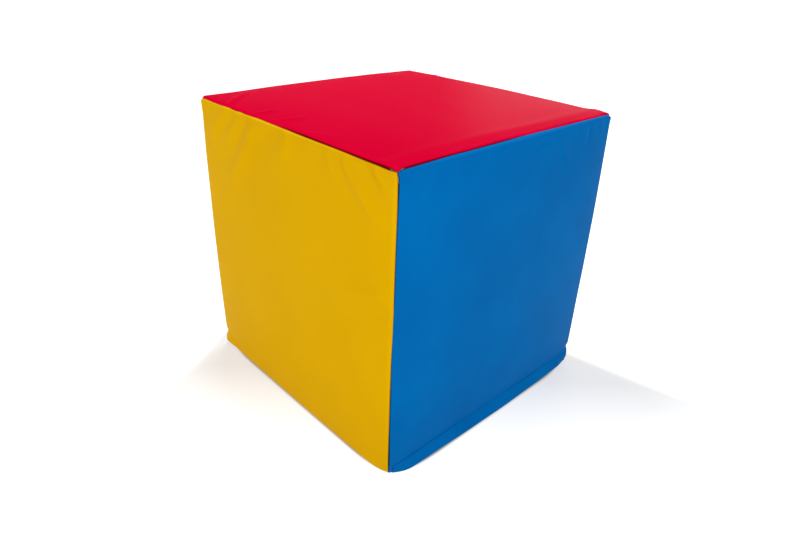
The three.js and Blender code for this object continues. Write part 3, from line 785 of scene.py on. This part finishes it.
def flap_grid(x, side):
    """The flap's cloth as a route in y and z carried along x: down from the stitch line, round the fold and
    up behind, half the cloth to either side of it.

    It hangs at a slant. Its foot is pushed out by a parabola along the length and by slow waves, and drawn
    in and up at the ends, all in the share that a point hangs below the stitch line. It follows the dents
    of the corners.
    """
    def layer_at(height, layers):
        return [flap_inside - flap_slant * (flap_top - height) - layers * cloth, height]

    outer_layer = 1.5 + flap_gap / cloth
    fold_radius = (cloth + flap_gap) / 2
    foot = flap_foot + cloth / 2 + fold_radius
    back_top = zip_height + slider_nose / 4
    turn = np.linspace(0, math.pi, 9)
    down = [[front_line, flap_top], layer_at((flap_top + back_top) / 2, 1.6),
            layer_at(back_top, outer_layer), layer_at(foot, outer_layer)]
    smooth_down = along_route(np.array(down).T, 40)
    for _ in range(6):
        smooth_down[:, 1:-1] = (smooth_down[:, :-2] + smooth_down[:, 1:-1] + smooth_down[:, 2:]) / 3
    start = layer_at(foot, outer_layer)[0]
    round_foot = np.stack([start + fold_radius * (1 - np.cos(turn)), foot - fold_radius * np.sin(turn)])
    up = along_route(np.array([[start + 2 * fold_radius, foot], layer_at(back_top, 0.5)]).T, 12)
    route = np.concatenate([smooth_down, round_foot[:, 1:], up[:, 1:]], axis=1)
    y, z = beside(route, -side * cloth / 2)
    hang = np.clip((flap_top - z) / (flap_top - foot), 0, 1)[None] ** 1.25
    middle = 1 - (x / opening_half)[:, None] ** 2
    wave = 0.0005 * np.sin(23 * x + 1.1) + 0.0003 * np.sin(47 * x)
    push = flap_push * middle ** 0.8 + (wave * smooth(0, 0.05, opening_half - np.abs(x)))[:, None]
    at_end = smooth(0.040, 0, opening_half - np.abs(x))
    lift = flap_lift * (1 + at_end) + 0.0002 * np.sin(31 * x + 0.4)
    deep = y[None] - hang * np.maximum(push, 0) + hang * end_draw * at_end[:, None]
    tall = z[None] + band_wave(x)[:, None] * (1 - hang) + hang * lift[:, None]
    cloth_at = np.stack([np.broadcast_to(x[:, None], deep.shape), deep, tall])
    pulled = drawn_in(cloth_at)
    return cloth_at - np.stack([0 * pulled, pulled, 0.6 * pulled * hang])


flap_end = opening_half - flap_gap / 4
flap_x = np.linspace(-flap_end, flap_end, 280)
flap_outer, flap_inner = flap_grid(flap_x, 1), flap_grid(flap_x, -1)
keep_all = np.ones((flap_outer.shape[1] - 1, flap_outer.shape[2] - 1), bool)
flap = closed_cloth("zip_flap_cloth", flap_outer, flap_inner, keep_all, blue_vinyl)
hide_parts("zip_flap")
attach(flap, "flap")


# The zip
# Two tapes of woven polyester, sewn behind the front's hem and over the base panel's edge, with plastic
# teeth moulded on their edges, nickel-plated stops and slider, and a patch of vinyl over each end.
tape_width = 0.016
tooth_neck = 0.0014
tape_end = 0.265
tab_length = 0.016
tab_height = 0.010
tab_middle = 0.265


def tape_material():
    """A twill weave of threads a quarter of a millimetre wide, with a slow unevenness of the dye."""
    material, tree, shader = new_material("zip_tape", painted(10, 63, 116), 0.85, 0.2)
    where = add_node(tree, "TexCoord")["Object"]
    across = add_node(tree, "TexWave", {"Vector": where, "Scale": 620}, bands_direction="X")["Fac"]
    slanted = add_node(tree, "TexWave", {"Vector": where, "Scale": 380}, bands_direction="DIAGONAL")["Fac"]
    weave = calculated(tree, "ADD", across, slanted)
    bump = add_node(tree, "Bump", {"Height": weave, "Strength": 0.5, "Distance": 0.0002})["Normal"]
    dye = add_node(tree, "TexNoise", {"Vector": where, "Scale": 40})["Fac"]
    tint = tint_between(tree, dye, painted(8, 56, 104), painted(14, 70, 126))
    feed(tree, shader, {"Base Color": tint, "Normal": bump})
    return material


def clouded(tree, shader, scale, detail, smoothest, roughest):
    """Lets the roughness drift between two values, over clouds of this scale and detail."""
    where = add_node(tree, "TexCoord")["Object"]
    cloud = add_node(tree, "TexNoise", {"Vector": where, "Scale": scale, "Detail": detail})["Fac"]
    feed(tree, shader, {"Roughness": ranged(tree, cloud, result=(smoothest, roughest))})


def tooth_material():
    """Dyed acetal, moulded smooth, with the faint clouding of moulded plastic."""
    material, tree, shader = new_material("zip_teeth", painted(11, 79, 146), 0.34, 0.4)
    clouded(tree, shader, 300, 2, 0.28, 0.42)
    return material


def nickel_material():
    """Bright nickel plate with the fine scuffs of sliding."""
    material, tree, shader = new_material("zip_metal", painted(185, 188, 192), 0.24)
    shader.inputs["Metallic"].default_value = 1
    clouded(tree, shader, 900, 6, 0.16, 0.34)
    return material


def ribbon(name, route, x, thick, material):
    """A strip along X: a route in y and z carried along it, half the thickness to either side."""
    skins = []
    for far in (thick / 2, -thick / 2):
        y, z = beside(route, far)
        skins.append(np.stack(np.broadcast_arrays(x[:, None], y[None], z[None])))
    whole = np.ones((len(x) - 1, route.shape[1] - 1), bool)
    return closed_cloth(name, *skins, whole, material)


tape_x = np.linspace(-tape_end, tape_end, 200)
weave = tape_material()
start = tooth_neck / 2 + 0.0030
upper_route = np.array([[zip_plane, zip_height + start], [zip_plane, zip_height + tape_width]]).T
upper_tape = ribbon("zip_tape_upper_cloth", along_route(upper_route, 12), tape_x, tape_thick, weave)
bend_middle = (-half + 0.016, round_level)
bend = bend_middle[0] - zip_plane + 0.0010
turn_in = np.linspace(math.asin(min(1, (bend_middle[0] - zip_plane) / bend)), 0, 14)
lower_route = np.concatenate([
    [[zip_plane, zip_height - start], [zip_plane, bend_middle[1] - bend * math.cos(turn_in[0]) + 0.0004]],
    np.stack([bend_middle[0] - bend * np.sin(turn_in), bend_middle[1] - bend * np.cos(turn_in)], 1),
    [[bend_middle[0] + 0.0012, bend_middle[1] - bend]],
]).T
lower_tape = ribbon("zip_tape_lower_cloth", along_route(lower_route, 30), tape_x, tape_thick, weave)
for made, node in ((upper_tape, "zip_tape_upper"), (lower_tape, "zip_tape_lower")):
    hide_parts(node)
    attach(made, "cover")


def end_patch(name, side):
    """A small rectangle of vinyl over the zip's end, its corners a little rounded and its middle a little
    proud."""
    a, b = np.meshgrid(np.linspace(-1, 1, 21), np.linspace(-1, 1, 15), indexing="ij")
    corner = 1 - 0.04 * np.abs(a * b) ** 6
    x = side * tab_middle + tab_length / 2 * a * corner
    z = zip_height + tab_height / 2 * b * corner
    proud = 0.0002 * (1 - a ** 2) * (1 - b ** 2)
    front = zip_plane - tape_thick / 2 - seat_gap - cloth
    outer = np.stack([x, front - proud, z])
    inner = np.stack([x, np.full(x.shape, front + cloth), z])
    whole = np.ones((a.shape[0] - 1, a.shape[1] - 1), bool)
    return closed_cloth(name, outer, inner, whole, blue_vinyl)


for side, node in ((-1, "zip_tab_left"), (1, "zip_tab_right")):
    patch = end_patch(f"{node}_cloth", side)
    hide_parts(node)
    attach(patch, "cover")

moulded, nickel = tooth_material(), nickel_material()
for node in ("zip_teeth_upper", "zip_teeth_lower"):
    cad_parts[node].material_slots[0].material = moulded
for node in ("zip_slider_front", "zip_slider_back", "top_stop_upper", "top_stop_lower", "bottom_stop"):
    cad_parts[node].material_slots[0].material = nickel


# The floor, the light and the camera
# A white studio floor that takes the cube's shadow, and large soft lights round it. The camera stands where
# the photograph's did.
white = (1, 1, 1, 1)


def white_surroundings():
    """The camera and reflections see plain white, and the cube is lit by a fainter, even sky."""
    world = bpy.data.worlds.new("studio")
    bpy.context.scene.world = world
    world.use_nodes = True
    tree = world.node_tree
    seen = tree.nodes["Background"]
    seen.inputs["Color"].default_value = white
    seen.inputs["Strength"].default_value = 1
    sky = add_node(tree, "Background", {"Color": white, "Strength": 0.32})["Background"]
    path = add_node(tree, "LightPath")
    direct = calculated(tree, "MAXIMUM", path["Is Camera Ray"], path["Is Glossy Ray"])
    any_of = calculated(tree, "MAXIMUM", direct, path["Is Transmission Ray"])
    mix = add_node(tree, "MixShader", {"Fac": any_of, 1: sky, 2: seen.outputs["Background"]})["Shader"]
    feed(tree, tree.nodes["World Output"], {"Surface": mix})


white_surroundings()

# The corners beside which the shadow shows, and the way that its border there faces, away from the camera
shadow_borders = [((-half, half, 0), (-0.55, 0.84, 0)), ((half, -half, 0), (0.988, 0.157, 0))]
towards_camera = (-0.707, -0.707, 0)
painted_foot_shade = (half, half + 0.009)  # from where to where the painted contact shade at the foot runs out
foot_drawn_in = 0.013  # how much further in the foot stands at the yellow sides
foot_corner = 0.14  # how widely the painted shade is rounded at a corner


def floor_material():
    """White paper, with a glow that only the camera and reflections see, in place of some of its shade.

    The glow is painted light, the largest of three: one that rises with the distance from the middle, one
    that rises from the strip where the shadow shows and fades it towards the camera, and one that is full
    behind the shadow's borders. It runs out at the cube's foot, and so paints a thin contact shadow there.
    """
    material = bpy.data.materials.new("studio_floor")
    material.use_nodes = True
    tree = material.node_tree
    tree.nodes.remove(tree.nodes["Principled BSDF"])
    where = add_node(tree, "TexCoord")["Object"]
    path = add_node(tree, "LightPath")
    shade = ranged(tree, path["Is Camera Ray"], result=(0.85, 0.5))
    paper = add_node(tree, "BsdfDiffuse", {"Color": shade})

    distance = calculated(tree, "LENGTH", where, kind="VectorMath")
    far_rise = ranged(tree, distance, (0.7, 2.6), (0.5, 1))

    # Painted light: the glow rises either way from the strip where the shadow shows.
    nearer = calculated(tree, "DOT_PRODUCT", where, towards_camera, kind="VectorMath")
    from_strip = calculated(tree, "ABSOLUTE", calculated(tree, "SUBTRACT", nearer, 0.03))
    front_rise = ranged(tree, from_strip, (0.02, 0.33), (0.44, 0.88))

    beyond = []
    for corner, outward in shadow_borders:
        from_corner = calculated(tree, "SUBTRACT", where, corner, kind="VectorMath", output="Vector")
        beyond.append(calculated(tree, "DOT_PRODUCT", from_corner, outward, kind="VectorMath"))
    back_rise = ranged(tree, calculated(tree, "MAXIMUM", *beyond), (-0.03, 0.04))

    # Painted contact shadow: the glow runs out in a thin band round the cube's foot.
    size = calculated(tree, "ABSOLUTE", where, kind="VectorMath", output="Vector")
    sides = add_node(tree, "SeparateXYZ", {"Vector": size})
    drawn_under = calculated(tree, "ADD", sides["X"], foot_drawn_in)
    outermost = calculated(tree, "SMOOTH_MAX", drawn_under, sides["Y"], foot_corner)
    clear_of_painted_foot_shade = ranged(tree, outermost, painted_foot_shade, steps="SMOOTHSTEP")

    highest = calculated(tree, "MAXIMUM", calculated(tree, "MAXIMUM", far_rise, front_rise), back_rise)
    shown = calculated(tree, "MULTIPLY", highest, clear_of_painted_foot_shade)
    seen = calculated(tree, "MAXIMUM", path["Is Camera Ray"], path["Is Glossy Ray"])
    strength = calculated(tree, "MULTIPLY", seen, shown)
    glow = add_node(tree, "Emission", {"Color": white, "Strength": strength})
    both = add_node(tree, "AddShader", {0: paper["BSDF"], 1: glow["Emission"]})["Shader"]
    feed(tree, tree.nodes["Material Output"], {"Surface": both})
    return material


floor_mesh = bpy.data.meshes.new("floor")
floor_half, floor_level = 40, -0.0002
floor_corners = [(-floor_half, -floor_half), (floor_half, -floor_half),
                 (floor_half, floor_half), (-floor_half, floor_half)]
floor_mesh.from_pydata([(x, y, floor_level) for x, y in floor_corners], [], [(0, 1, 2, 3)])
floor_mesh.materials.append(floor_material())
floor = bpy.data.objects.new("floor", floor_mesh)
bpy.context.scene.collection.objects.link(floor)


def soft_light(name, place, aim, wide, high, power):
    """A soft box at a place, turned to face a point, its lower edge level."""
    lamp = bpy.data.lights.new(name, "AREA")
    lamp.shape = "RECTANGLE"
    lamp.size = wide
    lamp.size_y = high
    lamp.energy = power
    made = bpy.data.objects.new(name, lamp)
    bpy.context.scene.collection.objects.link(made)
    made.location = place
    made.rotation_mode = "QUATERNION"
    made.rotation_quaternion = (Vector(aim) - Vector(place)).to_track_quat("-Z", "Y")
    return made


soft_light("front_box", (0.5, -2.8, 1.9), (0, 0, 0.3), 0.9, 0.9, 17)
soft_light("left_box", (-1.9, -2.3, 1.5), (-0.3, 0, 0.3), 0.8, 0.8, 41)
soft_light("low_box", (-2.4, 1.5, 0.7), (-0.3, 0.1, 0.2), 0.9, 0.9, 19)
soft_light("right_box", (3.6, 1.6, 1.42), (0.1, -0.1, 0.6), 1.9, 0.55, 38)
soft_light("back_box", (0.11, 0.53, 2.2), (0, 0, 0), 0.35, 0.35, 13.5)

camera_data = bpy.data.cameras.new("camera")
camera_data.lens = 27.22
camera_data.sensor_width = 36
camera = bpy.data.objects.new("camera", camera_data)
bpy.context.scene.collection.objects.link(camera)
right = Vector((0.73003, -0.68249, 0.03535))
down = Vector((-0.2912, -0.35745, -0.88737))
forward = Vector((0.61826, 0.63752, -0.45969))
turned_to = Matrix((right, -down, -forward)).transposed().to_4x4()
camera.matrix_world = Matrix.Translation((-0.8455, -0.8753, 0.8586)) @ turned_to
bpy.context.scene.camera = camera
bpy.context.scene.view_settings.view_transform = "Standard"
